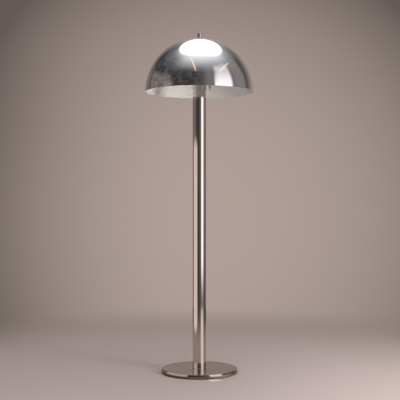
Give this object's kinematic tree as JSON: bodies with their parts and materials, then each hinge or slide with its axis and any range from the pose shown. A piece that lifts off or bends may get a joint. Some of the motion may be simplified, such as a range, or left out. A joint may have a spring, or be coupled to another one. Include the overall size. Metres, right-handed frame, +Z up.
{
  "type": "floor lamp",
  "caption": "Mushroom floor lamp: polished hemispherical dome shade on a thick straight chrome column with a flat round base and a pull chain.",
  "frame": {"origin": "centre of the felt ring's underside, on the floor at the column's axis", "axes": "+Z up along the column; +X towards the pull chain's side; -Y towards the pictured front"},
  "size_m": [0.4571, 0.4572, 1.4345],
  "materials": {
    "nickel": "polished nickel plate, mirror bright",
    "shade_metal": "spun aluminium, polished outside, white baked enamel inside",
    "white_enamel": "white baked enamel",
    "zinc": "bright zinc plated steel",
    "brass": "plain brass",
    "phenolic": "dark moulded phenolic",
    "porcelain": "unglazed white porcelain",
    "fibre": "vulcanised fibre",
    "bulb_glass": "frosted inside",
    "bulb_metal": "rolled thin aluminium",
    "felt": "dense dark felt",
    "black_rubber": "black rubber",
    "spring_steel": "bright spring wire"
  },
  "bodies": {
    "root": {"base_nut": "zinc", "base_plate": "nickel", "base_washer": "zinc", "column_cap": "nickel", "column_tube": "nickel", "cord_bushing": "black_rubber", "cover_rivets": "brass", "crown_gasket": "black_rubber", "crown_seat": "nickel", "drum_lid": "white_enamel", "drum_nut": "zinc", "drum_pan": "white_enamel", "drum_washer": "zinc", "felt_pad": "felt", "neck_sleeve": "nickel", "nipple_nut_a": "zinc", "nipple_nut_b": "zinc", "nozzle_nut": "nickel", "ratchet_pin": "zinc", "return_spring": "spring_steel", "riser_coupling": "nickel", "riser_rod": "nickel", "socket_a_cap": "nickel", "socket_a_contact": "brass", "socket_a_core": "porcelain", "socket_a_liner": "fibre", "socket_a_nipple": "zinc", "socket_a_screw_shell": "brass", "socket_a_shell": "nickel", "socket_a_terminals": "brass", "socket_b_cap": "nickel", "socket_b_contact": "brass", "socket_b_core": "porcelain", "socket_b_liner": "fibre", "socket_b_nipple": "zinc", "socket_b_screw_shell": "brass", "socket_b_shell": "nickel", "socket_b_terminals": "brass", "switch_case": "phenolic", "switch_contacts": "brass", "switch_cover": "fibre", "switch_nozzle": "nickel", "switch_terminals": "brass", "tie_rod": "zinc", "tube_foot": "zinc"},
    "shade": {"dome_shade": "shade_metal", "crown_washer": "nickel"},
    "finial": {"finial": "nickel"},
    "pull_chain": {"pull_plunger": "zinc", "bead_chain": "nickel", "pull_knob": "nickel"},
    "lever": {"pull_lever": "zinc"},
    "ratchet": {"ratchet_wheel": "phenolic"},
    "bulb_a": {"bulb_a_base": "bulb_metal", "bulb_a_glass": "bulb_glass"},
    "bulb_b": {"bulb_b_base": "bulb_metal", "bulb_b_glass": "bulb_glass"}
  },
  "joints": [
    {"name": "shade_turn", "type": "hinge", "parent": "root", "child": "shade", "pos_m": [0, 0, 1.4135], "axis": [0, 0, 1], "continuous": true},
    {"name": "finial_turn", "type": "hinge", "parent": "shade", "child": "finial", "pos_m": [0, 0, 1.4155], "axis": [0, 0, 1], "continuous": true},
    {"name": "chain_pull", "type": "slide", "parent": "root", "child": "pull_chain", "axis": [0, 0, -1], "range_m": [0, 0.008], "stiffness_N_per_m": 900, "springref_m": -0.003, "deforming": ["return_spring"]},
    {"name": "lever_swing", "type": "hinge", "parent": "root", "child": "lever", "pos_m": [0.03381, 0, 1.2785], "axis": [0, 1, 0], "range_deg": [0, 45]},
    {"name": "ratchet_turn", "type": "hinge", "parent": "root", "child": "ratchet", "pos_m": [0.03381, 0, 1.2785], "axis": [0, 1, 0], "range_deg": [0, 45]},
    {"name": "bulb_a_turn", "type": "hinge", "parent": "root", "child": "bulb_a", "pos_m": [0.08485, 0.08485, 1.281], "axis": [0.7071, 0.7071, 0], "continuous": true},
    {"name": "bulb_b_turn", "type": "hinge", "parent": "root", "child": "bulb_b", "pos_m": [-0.08485, -0.08485, 1.281], "axis": [-0.7071, -0.7071, 0], "continuous": true}
  ],
  "couplings": [
    {"joint": "lever_swing", "follows": "chain_pull", "rad_per_m": 98.17},
    {"joint": "ratchet_turn", "follows": "chain_pull", "rad_per_m": 98.17}
  ]
}
